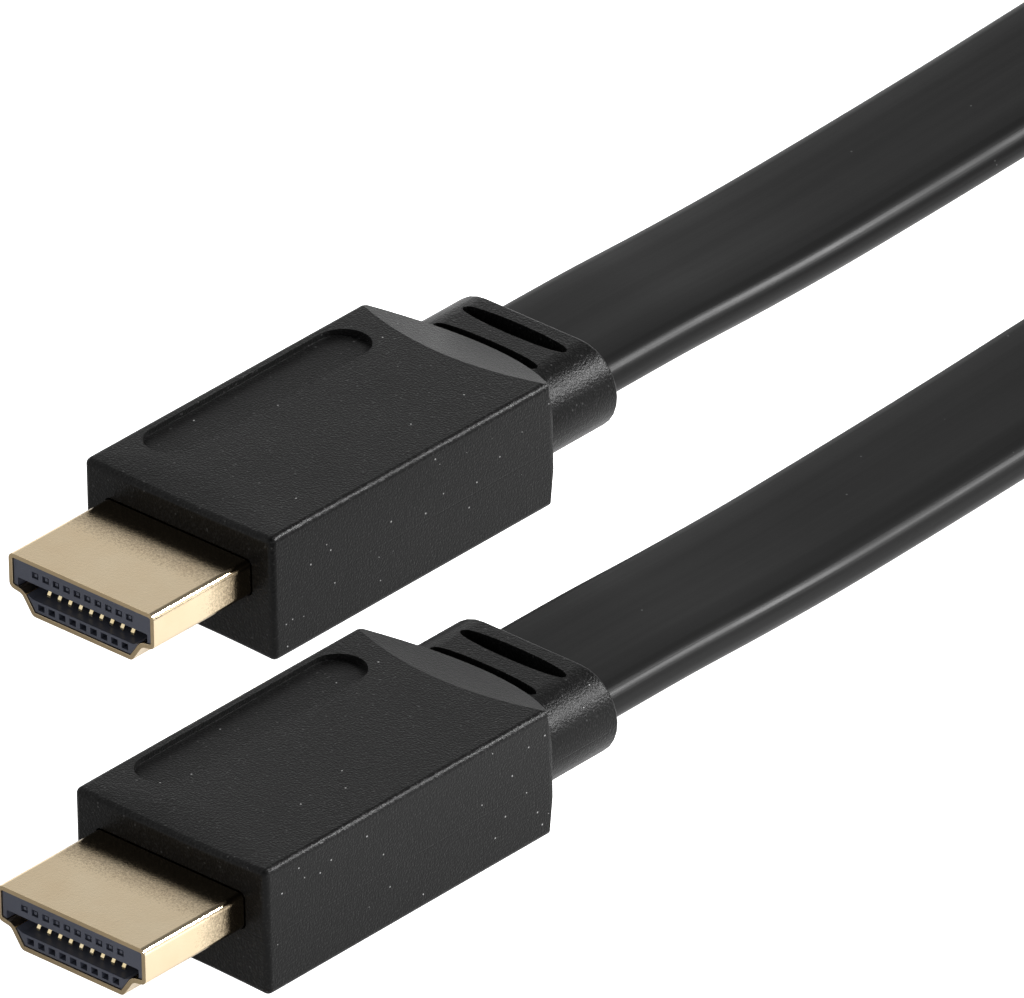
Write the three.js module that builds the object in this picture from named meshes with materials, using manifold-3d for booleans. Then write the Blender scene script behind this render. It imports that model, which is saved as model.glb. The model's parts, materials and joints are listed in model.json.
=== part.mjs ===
// A flat digital video cable with a moulded plug on each end, laid out on a level surface.
// Each plug is a folded metal shell around a contact holder with nineteen contacts, and both
// are held in a black overmould that ends in an oval strain relief. The flat cord leaves each
// plug with its wide face up, turns onto its edge and is rolled up in one loose coil from both
// ends, which a strap ties.
// Millimetres, +Z up. Both mouths face -Y and both cords leave towards +Y.
import * as THREE from "three";
import { mergeVertices } from "three/addons/utils/BufferGeometryUtils.js";
import Module from "manifold-3d";

const wasm = await Module();
wasm.setup();

// Metal shell
const shellWidth = 13.9;
const shellHeight = 4.45;
const shellWall = 0.35;
const shellReach = 10.0; // from the mouth to the front face of the overmould
const shellSeat = 1.7; // length held inside the overmould
const shellCentreHeight = 5.33; // above the surface that the plug lies on
const shellSideHeight = 2.8; // upright part of each side, from the top down
const shellStepWidth = 11.5; // width at the foot of the step in each side
const shellStepDrop = 0.2; // how far the step falls before it turns down
const shellFootWidth = 9.5;
const shellCornerRadius = 0.5;
const shellStepRadius = 0.6;

// Contact holder inside the shell
const holderClearance = 0.06; // to the inside of the shell
const holderRecess = 0.1; // behind the rim of the mouth
const holderEndGap = 0.3; // ahead of the shell's rear end
const slotTopWidth = 12.4;
const slotFootWidth = 9.6;
const slotHeight = 1.3;
const slotShoulder = 0.65; // upright part of each side of the slot
const slotCornerRadius = 0.12;
const slotCentre = -0.27; // from the shell's centre height
const slotBackWall = 2.1; // of the holder, behind the slot
const pitWidth = 0.62;
const pitHeight = 0.5;
const pitDepth = 1.2;
const pitNubWidth = 0.26; // the nose that stands in each upper pit
const pitNubHeight = 0.24;
const pitNubRecess = 0.08; // behind the holder's front face
const contactPitch = 1.0;
const upperContacts = 10;
const lowerContacts = 9;

// Contacts
const contactWidth = 0.3;
const contactThickness = 0.18;
const contactClearance = 0.06; // to the wall of the slot
const contactTip = 0.9; // from the mouth
const contactCrest = 1.4; // from the mouth
const crestFront = 0.22; // from the crest forward to where the spring bends down
const crestBack = 0.5; // and back to where its straight slope begins
const crestRound = 0.08; // the crest stands this far above both
const contactFoot = 5.2; // where the spring leaves the wall
const contactEndGap = 0.3; // to the slot's back wall
const lowerCrestRise = 0.55; // of the spring above its wall
const upperCrestRise = 0.34;
const tipDrop = 0.5; // from the crest back towards the wall

// Overmould
const bodyWidth = 18.0;
const bodyHeight = 10.0;
const bodyLength = 28.8; // along the sides
const bodyEdgeRadius = 0.5;
const socketClearance = 0.08; // around the shell
const socketEndGap = 0.3; // behind the shell
const noseStart = 0.9; // of the shallow arched facet at the front, behind the front face
const noseLength = 2.6; // of that facet along the plug's middle
const noseDrop = 0.2; // its fall to the front edge, at the plug's middle
const endBow = 3.1; // the rear end's middle stands this far behind its sides
const endLean = 0.4; // the rear end's middle height stands this far behind its upper edge
const endMiddleHeight = 5.0; // of that part, which the lean reaches
const endTaper = 0.1; // the sides draw in this far over that lean
const slopeLead = 1.6; // the rear slope's front edge is this far ahead of the sides
const slopeStep = 0.15; // from the foot of the slope down to the strain relief

// Shallow pocket on the overmould's top
const pocketWidth = 4.3;
const pocketLength = 21.9;
const pocketDepth = 0.45;
const pocketCentre = -6.0; // across, from the plug's middle
const pocketStart = 3.9; // from the overmould's front face

// Strain relief
const reliefWidth = 16.0;
const reliefHeight = 6.9;
const reliefReach = 8.4; // behind the sides of the overmould
const reliefRoot = 2.0; // ahead of them, inside the block
const reliefEdgeRadius = 0.3;
const reliefSlotLength = 9.9;
const reliefSlotWidth = 1.55;
const reliefSlotDepth = 1.3;
const reliefSlotPitch = 3.1;
const reliefSlotBluntness = 0.75; // 1 is an ellipse, and less is fuller towards the ends
const reliefFirstSlot = 3.2; // behind the sides of the overmould

// The two ends as they lie
const leftMouth = -6.7; // along Y
const plugSpacing = 30.6; // across, middle to middle
const plugStagger = 33.8; // the right plug lies this far ahead of the left one

// Flat cord
const cordWidth = 12.8;
const cordThickness = 3.0;
const cordGap = 0.3; // between the leads, the coil and its tie
const leadStep = 6.0; // length of one straight piece of a lead's solid

// Coil, a double spiral that stands on the cord's edges, and the strap that ties it
const coilCentreX = 57.5;
const coilCentreY = 172.0;
const coilOuterRadius = 68.9;
const coilInnerRadius = 50.1;
const coilBase = 0.1;
const coilHeight = 13.2;
const tieWidth = 12.0;
const tieThickness = 0.9;
const tieRadius = 59.5; // from the coil's centre to the middle of the turns that it holds
const tieSpan = 14.0; // inside, across those turns
const tieClearHeight = 13.5; // inside
const tieCornerRadius = 1.4;

// The left cord's middle line, from its strain relief to where the coil begins
const leftRoute = [
  [-15.3, 40.8, 4.8],
  [-15.3, 50, 4.8],
  [-15.3, 58, 4.62],
  [-15.3, 66, 4.58],
  [-15.3, 74, 4.75],
  [-15.3, 82, 5.0],
  [-15.3, 90, 5.32],
  [-15.3, 98, 5.73],
  [-15.3, 106, 6.1],
  [-15.25, 113, 6.35],
  [-15.0, 120, 6.52],
  [-14.4, 126, 6.58],
  [-13.4, 132, 6.6],
  [-12.4, 138, 6.6],
  [-11.4, 144, 6.6],
  [-10.4, 151, 6.6],
  [-9.8, 158, 6.6],
  [-9.55, 165, 6.6],
  [-9.5, 172, 6.6],
];

// The right cord's middle line
const rightRoute = [
  [15.3, 7, 4.8],
  [15.3, 16.2, 4.8],
  [15.3, 24.2, 4.62],
  [15.3, 32.2, 4.58],
  [15.3, 40.2, 4.75],
  [15.3, 48.2, 5.0],
  [15.3, 56.2, 5.32],
  [15.3, 64.2, 5.73],
  [15.3, 72.2, 6.1],
  [15.3, 79, 6.35],
  [15.2, 86, 6.52],
  [14.6, 93.5, 6.58],
  [13.2, 101, 6.6],
  [10.9, 109, 6.6],
  [7.7, 118, 6.6],
  [4.0, 127, 6.6],
  [0.7, 136, 6.6],
  [-1.6, 144, 6.6],
  [-3.2, 152, 6.6],
  [-4.1, 160, 6.6],
  [-4.4, 166, 6.6],
  [-4.5, 172, 6.6],
];

// Each lead turns from flat onto its right edge between these two places along Y
const leftTurn = [100, 138];
const rightTurn = [66, 104];

const shellEnd = shellReach + shellSeat;
const holderEnd = shellEnd - holderEndGap;
const slotEnd = holderEnd - slotBackWall;
const contactEnd = slotEnd - contactEndGap;
const bodyFront = shellReach;
const bodyRear = shellReach + bodyLength;
const bodyMiddle = bodyHeight / 2;
const arcSteps = 7;

const looks = {
  gold: new THREE.MeshStandardMaterial({ color: 0xd8c08a, roughness: 0.28, metalness: 1 }),
  contact: new THREE.MeshStandardMaterial({ color: 0xe0b860, roughness: 0.25, metalness: 1 }),
  holder: new THREE.MeshStandardMaterial({ color: 0x2c2e38, roughness: 0.55, metalness: 0 }),
  mould: new THREE.MeshStandardMaterial({ color: 0x161617, roughness: 0.6, metalness: 0 }),
  cord: new THREE.MeshStandardMaterial({ color: 0x131314, roughness: 0.45, metalness: 0 }),
  strap: new THREE.MeshStandardMaterial({ color: 0x1b1b1d, roughness: 0.9, metalness: 0 }),
};

// Outlines

// Points of a closed outline whose corners are [across, up, radius], given anticlockwise.
function roundedOutline(corners) {
  const points = [];
  corners.forEach(([x, y, radius], i) => {
    const here = new THREE.Vector2(x, y);
    const before = new THREE.Vector2(...corners.at(i - 1)).sub(here).normalize();
    const after = new THREE.Vector2(...corners[(i + 1) % corners.length]).sub(here).normalize();
    const halfAngle = Math.acos(THREE.MathUtils.clamp(before.dot(after), -1, 1)) / 2;
    if (radius <= 0) {
      points.push(here);
      return;
    }
    const reach = radius / Math.tan(halfAngle);
    const toCentre = before.clone().add(after).normalize();
    const centre = here.clone().addScaledVector(toCentre, radius / Math.sin(halfAngle));
    const first = here.clone().addScaledVector(before, reach).sub(centre);
    const last = here.clone().addScaledVector(after, reach).sub(centre);
    const sweep = Math.atan2(first.cross(last), first.dot(last));
    for (let k = 0; k <= arcSteps; k++) {
      points.push(first.clone().rotateAround(new THREE.Vector2(), (sweep * k) / arcSteps).add(centre));
    }
  });
  return points;
}

// Moves every side of a cornered outline outwards by the same distance.
function grownCorners(corners, distance) {
  const count = corners.length;
  const sideOf = (i) => {
    const from = corners[i];
    const to = corners[(i + 1) % count];
    const along = new THREE.Vector2(to[0] - from[0], to[1] - from[1]).normalize();
    const outwards = new THREE.Vector2(along.y, -along.x);
    const start = new THREE.Vector2(from[0], from[1]).addScaledVector(outwards, distance);
    return { along, start };
  };
  return corners.map(([, , radius], i) => {
    const before = sideOf((i + count - 1) % count);
    const after = sideOf(i);
    const turn = before.along.cross(after.along);
    const reach = after.start.clone().sub(before.start).cross(after.along) / turn;
    const corner = before.start.clone().addScaledVector(before.along, reach);
    const grown = turn > 0 ? radius + distance : radius - distance;
    return [corner.x, corner.y, Math.max(grown, 0.02)];
  });
}

// Corners of a shape that is the same on both sides, from those of its right half, top first.
function bothSides(rightHalf) {
  const left = rightHalf.map(([x, y, radius]) => [-x, y, radius]);
  return [...rightHalf].reverse().concat(left);
}

function shellCorners(distance) {
  const top = shellHeight / 2;
  const side = top - shellSideHeight;
  const corners = bothSides([
    [shellWidth / 2, top, shellCornerRadius],
    [shellWidth / 2, side, shellCornerRadius],
    [shellStepWidth / 2, side - shellStepDrop, shellStepRadius],
    [shellFootWidth / 2, -top, shellCornerRadius],
  ]);
  return grownCorners(corners, distance);
}

function slotCorners() {
  const top = slotCentre + slotHeight / 2;
  const foot = slotCentre - slotHeight / 2;
  return bothSides([
    [slotTopWidth / 2, top, slotCornerRadius],
    [slotTopWidth / 2, top - slotShoulder, slotCornerRadius],
    [slotFootWidth / 2, foot, slotCornerRadius],
  ]);
}

function stadium(length, width) {
  return roundedOutline([
    [width / 2, -length / 2, width / 2 - 0.001],
    [width / 2, length / 2, width / 2 - 0.001],
    [-width / 2, length / 2, width / 2 - 0.001],
    [-width / 2, -length / 2, width / 2 - 0.001],
  ]);
}

// An oval, longer across than along, whose ends are blunter than an ellipse's
function lens(length, width, bluntness) {
  const points = [];
  const half = 12;
  for (let k = 0; k < 2 * half; k++) {
    const angle = (Math.PI * k) / half;
    const along = Math.sign(Math.sin(angle)) * Math.abs(Math.sin(angle)) ** bluntness;
    points.push(new THREE.Vector2((Math.cos(angle) * length) / 2, (along * width) / 2));
  }
  return points;
}

// Solids

function extrudeUp(points, low, high) {
  const shape = new THREE.Shape(points);
  return new THREE.ExtrudeGeometry(shape, { depth: high - low, bevelEnabled: false }).translate(0, 0, low);
}

// The outline lies across and up, and the solid runs along Y.
function extrudeBack(points, front, back) {
  const shape = new THREE.Shape(points);
  const solid = new THREE.ExtrudeGeometry(shape, { depth: back - front, bevelEnabled: false });
  return solid.rotateX(Math.PI / 2).translate(0, back, 0);
}

// The outline lies along Y and up, and the solid runs along X.
function extrudeAcross(points, left, right) {
  const shape = new THREE.Shape(points);
  const solid = new THREE.ExtrudeGeometry(shape, { depth: right - left, bevelEnabled: false });
  const turn = new THREE.Matrix4().makeBasis(
    new THREE.Vector3(0, 1, 0),
    new THREE.Vector3(0, 0, 1),
    new THREE.Vector3(1, 0, 0),
  );
  return solid.applyMatrix4(turn).translate(left, 0, 0);
}

// A closed solid through rings of equal count. Each ring's upper points come first, right to
// left, and its lower ones follow, left to right, so that the end caps are strips across it.
function loft(rings) {
  const count = rings[0].length;
  const last = rings.length - 1;
  const positions = rings.flat().flatMap((point) => [point.x, point.y, point.z]);
  const faces = [];
  for (let r = 0; r < last; r++) {
    for (let i = 0; i < count; i++) {
      const a = r * count + i;
      const b = r * count + ((i + 1) % count);
      faces.push(a, b + count, b, a, a + count, b + count);
    }
  }
  for (let i = 0; i < count / 2 - 1; i++) {
    const mirrored = count - 1 - i;
    const end = last * count;
    faces.push(i, i + 1, mirrored, mirrored, i + 1, mirrored - 1);
    faces.push(end + i, end + mirrored, end + i + 1, end + mirrored, end + mirrored - 1, end + i + 1);
  }
  const geometry = new THREE.BufferGeometry();
  geometry.setAttribute("position", new THREE.Float32BufferAttribute(positions, 3));
  geometry.setIndex(faces);
  return geometry;
}

// One ring of a loft: a rounded rectangle across and up, each point placed along Y by its x.
function ring(halfWidth, halfHeight, radius, middle, alongY) {
  const topSteps = 14;
  const upper = [];
  const bend = Math.min(radius, halfWidth, halfHeight);
  const flat = halfWidth - bend;
  for (let k = 0; k <= arcSteps; k++) {
    const angle = ((Math.PI / 2) * k) / arcSteps;
    upper.push([flat + bend * Math.cos(angle), halfHeight - bend + bend * Math.sin(angle)]);
  }
  for (let k = 1; k < topSteps; k++) {
    upper.push([flat - (2 * flat * k) / topSteps, halfHeight]);
  }
  for (let k = arcSteps; k >= 0; k--) {
    const angle = ((Math.PI / 2) * k) / arcSteps;
    upper.push([-flat - bend * Math.cos(angle), halfHeight - bend + bend * Math.sin(angle)]);
  }
  const lower = upper.map(([x, z]) => [x, -z]).reverse();
  return upper.concat(lower).map(([x, z]) => new THREE.Vector3(x, alongY(x), middle + z));
}

// The same ring with each point's height shared down by its place across
function lowered(points, middle, share) {
  return points.map(({ x, y, z }) => new THREE.Vector3(x, y, middle + (z - middle) * share(x)));
}

// Joins and cuts

function toManifold(geometry) {
  const plain = geometry.clone();
  plain.deleteAttribute("normal");
  plain.deleteAttribute("uv");
  const merged = mergeVertices(plain, 1e-4);
  return new wasm.Manifold(
    new wasm.Mesh({
      numProp: 3,
      vertProperties: merged.attributes.position.array,
      triVerts: new Uint32Array(merged.index.array),
    }),
  );
}

function toGeometry(manifold) {
  const mesh = manifold.getMesh();
  const geometry = new THREE.BufferGeometry();
  geometry.setAttribute("position", new THREE.BufferAttribute(mesh.vertProperties, 3));
  geometry.setIndex(new THREE.BufferAttribute(mesh.triVerts, 1));
  geometry.computeVertexNormals();
  return geometry;
}

function cut(solid, tools) {
  return toGeometry(tools.reduce((left, tool) => left.subtract(toManifold(tool)), solid));
}

function named(name, geometry, material) {
  const mesh = new THREE.Mesh(geometry, material);
  mesh.name = name;
  return mesh;
}

// Parts of one plug, with the middle of its mouth over the origin

function shell() {
  const outside = roundedOutline(shellCorners(0));
  const inside = roundedOutline(shellCorners(-shellWall));
  const tube = toManifold(extrudeBack(outside, 0, shellEnd));
  return cut(tube, [extrudeBack(inside, -1, shellEnd + 1)]).translate(0, 0, shellCentreHeight);
}

// Middles of a row of contacts, across the plug
function rowPlaces(count) {
  return Array.from({ length: count }, (_, i) => (i - (count - 1) / 2) * contactPitch);
}

function pitsOfRow(count, height) {
  return rowPlaces(count).map((x) =>
    new THREE.BoxGeometry(pitWidth, 2 * pitDepth, pitHeight).translate(x, holderRecess, height),
  );
}

// The noses in the upper pits, rooted in the pits' back walls
function upperNubs(height) {
  const back = holderRecess + pitDepth + pitNubRecess;
  const front = holderRecess + pitNubRecess;
  return rowPlaces(upperContacts).map((x) =>
    new THREE.BoxGeometry(pitNubWidth, back - front, pitNubHeight).translate(x, (front + back) / 2, height),
  );
}

function contactHolder() {
  const distance = -shellWall - holderClearance;
  const inside = shellHeight / 2 + distance;
  const slotTop = slotCentre + slotHeight / 2;
  const slotFoot = slotCentre - slotHeight / 2;
  const outline = roundedOutline(shellCorners(distance));
  const block = extrudeBack(outline, holderRecess, holderEnd);
  const slot = extrudeBack(roundedOutline(slotCorners()), holderRecess - 1, slotEnd);
  const pits = [
    ...pitsOfRow(upperContacts, (inside + slotTop) / 2),
    ...pitsOfRow(lowerContacts, (slotFoot - inside) / 2),
  ];
  const hollow = toManifold(cut(toManifold(block), [slot, ...pits]));
  const nubs = upperNubs((inside + slotTop) / 2).map(toManifold);
  return toGeometry(nubs.reduce((solid, nub) => solid.add(nub), hollow)).translate(0, 0, shellCentreHeight);
}

// A leaf spring on the slot's floor: flat at the back, raised near the mouth, dipped at its tip.
function contact(wall, side, rise) {
  const near = wall + side * contactClearance;
  const height = (lift) => near + side * lift;
  const thick = contactThickness;
  const dip = Math.max(rise - tipDrop, 0);
  const line = [
    [contactEnd, 0],
    [contactFoot, 0],
    [contactCrest + crestBack, rise - crestRound],
    [contactCrest, rise],
    [contactCrest - crestFront, rise - crestRound],
    [contactTip, dip],
  ];
  const inner = line.map(([y, lift]) => new THREE.Vector2(y, height(lift)));
  const outer = line.map(([y, lift]) => new THREE.Vector2(y, height(lift + thick))).reverse();
  return extrudeAcross(inner.concat(outer), -contactWidth / 2, contactWidth / 2);
}

function contactRow(label, count, wall, side, rise) {
  return rowPlaces(count).map((x, i) => {
    const mesh = named(`${label}_contact_${i + 1}`, contact(wall, side, rise), looks.contact);
    mesh.position.set(x, 0, shellCentreHeight);
    return mesh;
  });
}

// The overmould's main block: rounded at its front, bowed and sloped at its rear
function bodyBlock() {
  const halfWidth = bodyWidth / 2;
  const halfHeight = bodyHeight / 2;
  const arch = (x) => 1 - (x / halfWidth) ** 2; // 1 along the plug's middle and 0 at its sides
  const footDrop = halfHeight - reliefHeight / 2 - slopeStep;
  const noseShare = (x) => 1 - (noseDrop / halfHeight) * arch(x);
  const footShare = (x) => 1 - (footDrop / halfHeight) * arch(x);
  const noseEnd = (x) => bodyFront + noseStart + noseLength * arch(x);
  const slopeFront = (x) => bodyRear - slopeLead * arch(x);
  const slopeFoot = (x) => bodyRear + endBow * arch(x);
  const endMiddle = (x) => slopeFoot(x) + endLean;
  const rings = [];
  for (let k = 0; k <= arcSteps; k++) {
    const angle = ((Math.PI / 2) * k) / arcSteps;
    const inset = bodyEdgeRadius * (1 - Math.sin(angle));
    const place = bodyFront + bodyEdgeRadius * (1 - Math.cos(angle));
    const corner = Math.max(bodyEdgeRadius - inset, 0.02);
    const front = ring(halfWidth - inset, halfHeight - inset, corner, bodyMiddle, () => place);
    rings.push(lowered(front, bodyMiddle, noseShare));
  }
  const full = (alongY) => ring(halfWidth, halfHeight, bodyEdgeRadius, bodyMiddle, alongY);
  rings.push(full(noseEnd), full(slopeFront), lowered(full(slopeFoot), bodyMiddle, footShare));
  const endWidth = halfWidth - endTaper;
  rings.push(ring(endWidth, endMiddleHeight / 2, bodyEdgeRadius, bodyMiddle, endMiddle));
  return toManifold(loft(rings));
}

function strainRelief() {
  const halfWidth = reliefWidth / 2;
  const halfHeight = reliefHeight / 2;
  const rings = [ring(halfWidth, halfHeight, halfHeight, bodyMiddle, () => bodyRear - reliefRoot)];
  for (let k = 0; k <= arcSteps; k++) {
    const angle = ((Math.PI / 2) * k) / arcSteps;
    const inset = reliefEdgeRadius * (1 - Math.cos(angle));
    const place = bodyRear + reliefReach - reliefEdgeRadius * (1 - Math.sin(angle));
    const round = halfHeight - inset;
    rings.push(ring(halfWidth - inset, halfHeight - inset, round, bodyMiddle, () => place));
  }
  return cut(toManifold(loft(rings)), reliefSlots());
}

function reliefSlots() {
  const top = bodyMiddle + reliefHeight / 2;
  const foot = bodyMiddle - reliefHeight / 2;
  const outline = lens(reliefSlotLength, reliefSlotWidth, reliefSlotBluntness);
  return [0, 1].flatMap((i) => {
    const place = bodyRear + reliefFirstSlot + i * reliefSlotPitch;
    const upper = extrudeUp(outline, top - reliefSlotDepth, top + 1).translate(0, place, 0);
    const lower = extrudeUp(outline, foot - 1, foot + reliefSlotDepth).translate(0, place, 0);
    return [upper, lower];
  });
}

function overmould() {
  const seat = roundedOutline(shellCorners(socketClearance));
  const socketEnd = shellEnd + socketEndGap;
  const socket = extrudeBack(seat, bodyFront - 1, socketEnd).translate(0, 0, shellCentreHeight);
  const pocketMiddle = bodyFront + pocketStart + pocketLength / 2;
  const pocketFloor = bodyHeight - pocketDepth;
  const pocket = extrudeUp(stadium(pocketLength, pocketWidth), pocketFloor, bodyHeight + 1);
  pocket.translate(pocketCentre, pocketMiddle, 0);
  return cut(bodyBlock().add(toManifold(strainRelief())), [socket, pocket]);
}

function plug(label) {
  const group = new THREE.Group();
  const slotTop = slotCentre + slotHeight / 2;
  const slotFoot = slotCentre - slotHeight / 2;
  group.add(named(`${label}_shell`, shell(), looks.gold));
  group.add(named(`${label}_contact_holder`, contactHolder(), looks.holder));
  group.add(named(`${label}_overmould`, overmould(), looks.mould));
  group.add(...contactRow(`${label}_upper`, upperContacts, slotTop, -1, upperCrestRise));
  group.add(...contactRow(`${label}_lower`, lowerContacts, slotFoot, 1, lowerCrestRise));
  return group;
}

// Cord

// The flat cord's section: a bar with round ends, as [along its width, through its thickness]
function cordSection() {
  const radius = cordThickness / 2;
  const reach = cordWidth / 2 - radius;
  const points = [];
  for (let k = 0; k <= 4; k++) {
    const angle = -Math.PI / 2 + (Math.PI * k) / 4;
    points.push([reach + radius * Math.cos(angle), radius * Math.sin(angle)]);
  }
  return points.concat(points.map(([across, through]) => [-across, -through]));
}

// The cord along a route, turning from flat to on edge between two places along Y
function cordLead(route, turn) {
  const line = new THREE.CatmullRomCurve3(
    route.map((point) => new THREE.Vector3(...point)),
    false,
    "catmullrom",
    0.5,
  );
  const steps = Math.round(line.getLength() / leadStep);
  const section = cordSection();
  const up = new THREE.Vector3(0, 0, 1);
  const frames = Array.from({ length: steps + 1 }, (_, i) => {
    const middle = line.getPointAt(i / steps);
    const along = line.getTangentAt(i / steps);
    const across = along.clone().cross(up).normalize();
    const above = across.clone().cross(along);
    const angle = (-Math.PI / 2) * THREE.MathUtils.smoothstep(middle.y, turn[0], turn[1]);
    const wide = across.clone().multiplyScalar(Math.cos(angle)).addScaledVector(above, Math.sin(angle));
    return { middle, wide, thin: along.clone().cross(wide) };
  });
  const outline = new THREE.Shape(section.map((point) => new THREE.Vector2(...point)));
  const bar = new THREE.ExtrudeGeometry(outline, { depth: steps, steps, bevelEnabled: false });
  const corners = bar.attributes.position;
  const corner = new THREE.Vector3();
  for (let i = 0; i < corners.count; i++) {
    corner.fromBufferAttribute(corners, i);
    const { middle, wide, thin } = frames[Math.round(corner.z)];
    const placed = middle.clone().addScaledVector(wide, corner.x).addScaledVector(thin, corner.y);
    corners.setXYZ(i, placed.x, placed.y, placed.z);
  }
  return cut(toManifold(bar), [coilRing(cordGap)]);
}

// The coil's outer shape, grown on every side by the same distance
function coilRing(distance) {
  const outside = coilOuterRadius + distance;
  const inside = coilInnerRadius - distance;
  const profile = [
    [inside, -distance],
    [outside, -distance],
    [outside, coilHeight + distance],
    [inside, coilHeight + distance],
    [inside, -distance],
  ].map((point) => new THREE.Vector2(...point));
  const solid = new THREE.LatheGeometry(profile, 72).rotateX(Math.PI / 2);
  return solid.translate(coilCentreX, coilCentreY, coilBase);
}

// A rectangle with round corners, standing on the floor, for the strap's inner or outer side
function tieOutline(distance) {
  const half = tieSpan / 2 + distance;
  const foot = tieThickness - distance;
  const top = tieThickness + tieClearHeight + distance;
  const round = tieCornerRadius + distance;
  const rectangle = [
    [half, foot, round],
    [half, top, round],
    [-half, top, round],
    [-half, foot, round],
  ];
  return roundedOutline(rectangle);
}

// The strap around the coil's far side, or a thicker copy of it that clears its way
function tie(distance) {
  const band = new THREE.Shape(tieOutline(tieThickness + distance));
  band.holes.push(new THREE.Path(tieOutline(-distance)));
  const depth = tieWidth + 2 * distance;
  const solid = new THREE.ExtrudeGeometry(band, { depth, bevelEnabled: false });
  solid.rotateX(Math.PI / 2).translate(0, depth / 2, 0).rotateZ(-Math.PI / 2);
  return solid.translate(coilCentreX, coilCentreY + tieRadius, 0);
}

function coil() {
  return cut(toManifold(coilRing(0)), [tie(cordGap)]);
}

// The whole cable

const leftPlug = plug("left_plug");
leftPlug.position.set(-plugSpacing / 2, leftMouth, 0);

const rightPlug = plug("right_plug");
rightPlug.position.set(plugSpacing / 2, leftMouth - plugStagger, 0);

const cable = new THREE.Group();
cable.add(leftPlug, rightPlug);
cable.add(named("cord_coil", coil(), looks.cord));
cable.add(named("coil_tie", tie(0), looks.strap));
cable.add(named("left_cord_lead", cordLead(leftRoute, leftTurn), looks.cord));
cable.add(named("right_cord_lead", cordLead(rightRoute, rightTurn), looks.cord));

export default cable;
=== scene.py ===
import json
import math

import bpy
from mathutils import Matrix, Vector


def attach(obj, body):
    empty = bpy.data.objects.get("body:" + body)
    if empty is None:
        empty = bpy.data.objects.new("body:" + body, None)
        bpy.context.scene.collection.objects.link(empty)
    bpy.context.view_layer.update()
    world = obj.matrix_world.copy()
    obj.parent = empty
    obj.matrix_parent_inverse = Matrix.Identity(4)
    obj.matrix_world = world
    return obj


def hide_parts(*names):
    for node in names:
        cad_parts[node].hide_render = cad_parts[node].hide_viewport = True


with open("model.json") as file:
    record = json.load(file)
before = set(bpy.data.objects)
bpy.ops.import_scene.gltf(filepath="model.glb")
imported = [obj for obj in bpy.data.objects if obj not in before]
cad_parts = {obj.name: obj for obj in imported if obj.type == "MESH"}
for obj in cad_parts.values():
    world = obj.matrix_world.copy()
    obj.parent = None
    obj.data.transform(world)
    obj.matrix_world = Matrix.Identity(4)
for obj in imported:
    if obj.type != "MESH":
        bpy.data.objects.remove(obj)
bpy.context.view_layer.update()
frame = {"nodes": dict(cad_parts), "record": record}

# Everything is in metres in the part's own frame. MM turns a size typed in millimetres
# into metres.
MM = 0.001

# Camera, found by fitting both plugs to the photograph. Its angles are in degrees.
PHOTO_WIDTH_PX = 1024
FOCAL_LENGTH_PX = 30000
SENSOR_WIDTH_MM = 36
CAMERA_AZIMUTH = 42.95
CAMERA_ELEVATION = 29.95
CAMERA_ROLL = -1.31
CAMERA_DISTANCE = 2.098
CAMERA_AIM = (0.00443, 0.01654, 0.01152)
CAMERA_SIGHT = 20  # how far it sees

# Flat cord
CORD_WIDTH = 0.0128
CORD_THICKNESS = 0.003
CORD_STEP = 0.0016  # between two sections of its mesh
CORD_ROOT = 0.0006  # length hidden inside each strain relief
CURVE_STEPS = 12  # steps of the smooth curve from one point of a route to the next
EDGE_STEPS = 8  # around each round edge of its section
FLAT_PLACES = (0.6, 0.2, -0.2, -0.6)  # points across a flat side, as shares of its half
END_CREASE = math.radians(50)  # only the rims of the cord's two ends are this sharp

# The left cord's middle line, from its strain relief to where the coil begins
LEFT_ROUTE = [
    (-0.0153, 0.0408, 0.0048),
    (-0.0153, 0.05, 0.0048),
    (-0.0153, 0.058, 0.00462),
    (-0.0153, 0.066, 0.00458),
    (-0.0153, 0.074, 0.00475),
    (-0.0153, 0.082, 0.005),
    (-0.0153, 0.09, 0.00532),
    (-0.0153, 0.098, 0.00573),
    (-0.0153, 0.106, 0.0061),
    (-0.01525, 0.113, 0.00635),
    (-0.015, 0.12, 0.00652),
    (-0.0144, 0.126, 0.00658),
    (-0.0134, 0.132, 0.0066),
    (-0.0124, 0.138, 0.0066),
    (-0.0114, 0.144, 0.0066),
    (-0.0104, 0.151, 0.0066),
    (-0.0098, 0.158, 0.0066),
    (-0.00955, 0.165, 0.0066),
    (-0.0095, 0.172, 0.0066),
]

# The right cord's middle line
RIGHT_ROUTE = [
    (0.0153, 0.007, 0.0048),
    (0.0153, 0.0162, 0.0048),
    (0.0153, 0.0242, 0.00462),
    (0.0153, 0.0322, 0.00458),
    (0.0153, 0.0402, 0.00475),
    (0.0153, 0.0482, 0.005),
    (0.0153, 0.0562, 0.00532),
    (0.0153, 0.0642, 0.00573),
    (0.0153, 0.0722, 0.0061),
    (0.0153, 0.079, 0.00635),
    (0.0152, 0.086, 0.00652),
    (0.0146, 0.0935, 0.00658),
    (0.0132, 0.101, 0.0066),
    (0.0109, 0.109, 0.0066),
    (0.0077, 0.118, 0.0066),
    (0.004, 0.127, 0.0066),
    (0.0007, 0.136, 0.0066),
    (-0.0016, 0.144, 0.0066),
    (-0.0032, 0.152, 0.0066),
    (-0.0041, 0.16, 0.0066),
    (-0.0044, 0.166, 0.0066),
    (-0.0045, 0.172, 0.0066),
]

# Each lead turns from flat onto its right edge between these two places along Y
LEFT_TURN = (0.1, 0.138)
RIGHT_TURN = (0.066, 0.104)

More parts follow.
